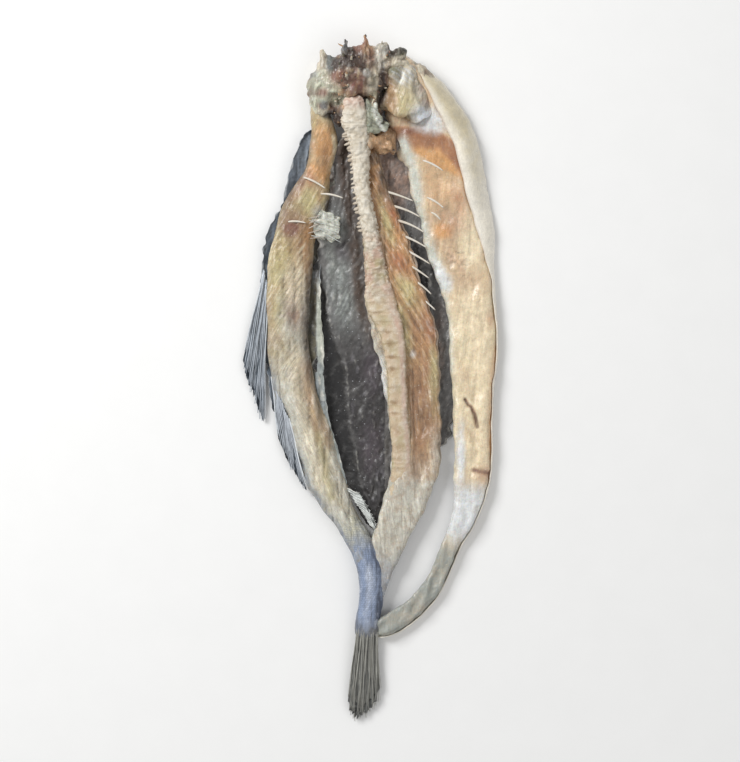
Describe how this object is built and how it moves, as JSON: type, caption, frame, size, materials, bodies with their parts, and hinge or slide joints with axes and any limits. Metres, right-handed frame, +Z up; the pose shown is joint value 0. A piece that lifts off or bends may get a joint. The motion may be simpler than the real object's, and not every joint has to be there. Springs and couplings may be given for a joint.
{
  "type": "dried split fish",
  "caption": "Headless river fish, gutted, split and dried: two curled flanks and a ribbed backbone strip held together at the collar and the tail.",
  "frame": {"origin": "middle of the fish's box, on the surface that it lies on", "axes": "+Y from the tail to the collar, +X to the right seen from above with the collar up, +Z up, flesh side up"},
  "size_m": [0.172, 0.4625, 0.0343],
  "materials": {
    "dried_flesh": "dry, slightly glossy flesh, cream to orange-brown",
    "skin": "silvery blue-grey skin with fine scale pockets, satin",
    "bone": "dry cream bone, dull",
    "fin": "thin dry fin rays and webs, grey to silver",
    "dark_lining": "dark dry lining of the back, dull with a faint sheen",
    "collar_meat": "dark red-brown dried meat and blood, rough"
  },
  "bodies": {
    "root": {"dried_fish": "dried_flesh"}
  },
  "joints": []
}
